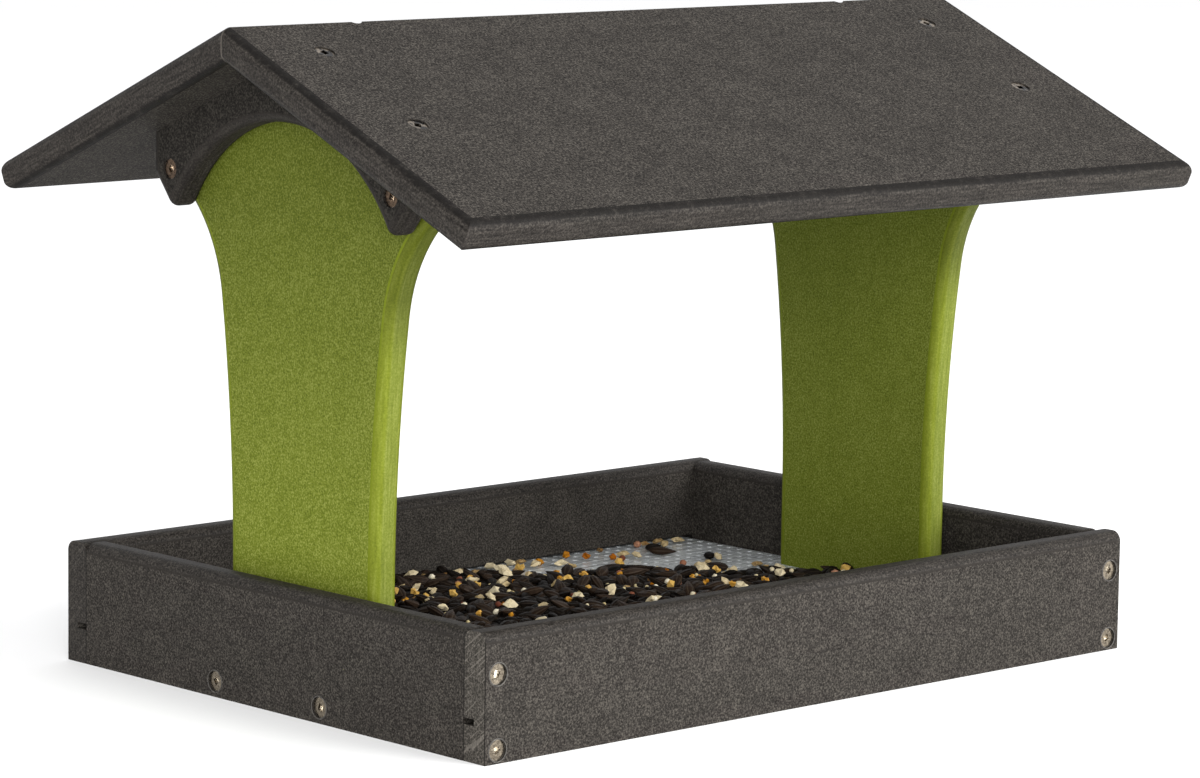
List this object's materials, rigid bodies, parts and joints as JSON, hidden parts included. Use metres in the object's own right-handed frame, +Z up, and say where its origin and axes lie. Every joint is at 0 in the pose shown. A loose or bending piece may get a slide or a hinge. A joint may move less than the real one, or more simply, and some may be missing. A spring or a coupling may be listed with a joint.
{
  "type": "post-mounted bird feeder",
  "caption": "Covered platform bird feeder: open seed tray with a screen floor, flared uprights, arched braces and a pitched roof, for the top of a post.",
  "frame": {"origin": "middle of the tray's footprint, on the plane that the tray's boards stand on", "axes": "+X along the tray and the ridge, towards the right upright; +Y to the back, away from the long side that the picture shows; +Z up to the ridge"},
  "size_m": [0.409, 0.2892, 0.2715],
  "materials": {
    "dark_lumber": "matte brown-charcoal plastic lumber, finely speckled",
    "green_lumber": "matte olive-lime plastic lumber, finely speckled",
    "screen_metal": "perforated mill-finish sheet",
    "screw_steel": "stainless, square drive",
    "seed": "mixed dry seed: black sunflower, millet, cracked corn"
  },
  "bodies": {
    "root": {"tray_front_board": "dark_lumber", "tray_back_board": "dark_lumber", "tray_left_end": "dark_lumber", "tray_right_end": "dark_lumber", "base_plank": "dark_lumber", "floor_screen": "screen_metal", "left_upright": "green_lumber", "right_upright": "green_lumber", "left_brace": "dark_lumber", "right_brace": "dark_lumber", "roof_front_panel": "dark_lumber", "roof_back_panel": "dark_lumber", "front_corner_screws": "screw_steel", "back_corner_screws": "screw_steel", "left_plank_screws": "screw_steel", "right_plank_screws": "screw_steel", "upright_foot_screws": "screw_steel", "left_brace_screws": "screw_steel", "right_brace_screws": "screw_steel", "roof_front_screws": "screw_steel", "roof_back_screws": "screw_steel", "ridge_screws": "screw_steel", "seed_mix": "seed"}
  },
  "joints": []
}
